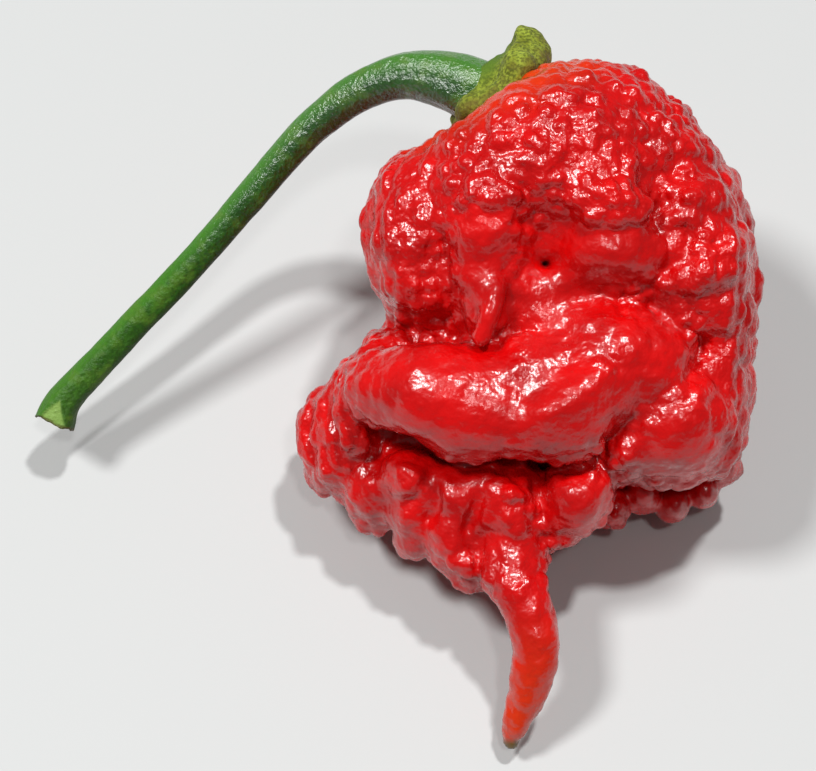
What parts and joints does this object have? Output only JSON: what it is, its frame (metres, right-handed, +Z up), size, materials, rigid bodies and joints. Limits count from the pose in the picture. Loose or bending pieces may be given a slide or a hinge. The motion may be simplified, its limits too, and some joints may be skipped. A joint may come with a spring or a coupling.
{
  "type": "chilli pepper",
  "caption": "Wrinkled, lobed hot pepper pod with a thin pointed tail, a small green cap on its shoulder and a long bent stalk.",
  "frame": {"origin": "on the surface the pepper lies on, under the middle of its overall box", "axes": "+Z up from the surface, +Y from the tail towards the stalk end, +X to the right when seen with the tail towards the viewer"},
  "size_m": [0.0628, 0.057, 0.0352],
  "materials": {
    "pod_skin": "wet-looking glossy red skin",
    "calyx_skin": "dull olive green, slightly velvety",
    "stem_skin": "smooth green with faint ridges, satin gloss"
  },
  "bodies": {
    "root": {"pod": "pod_skin", "calyx": "calyx_skin", "stem": "stem_skin"}
  },
  "joints": []
}
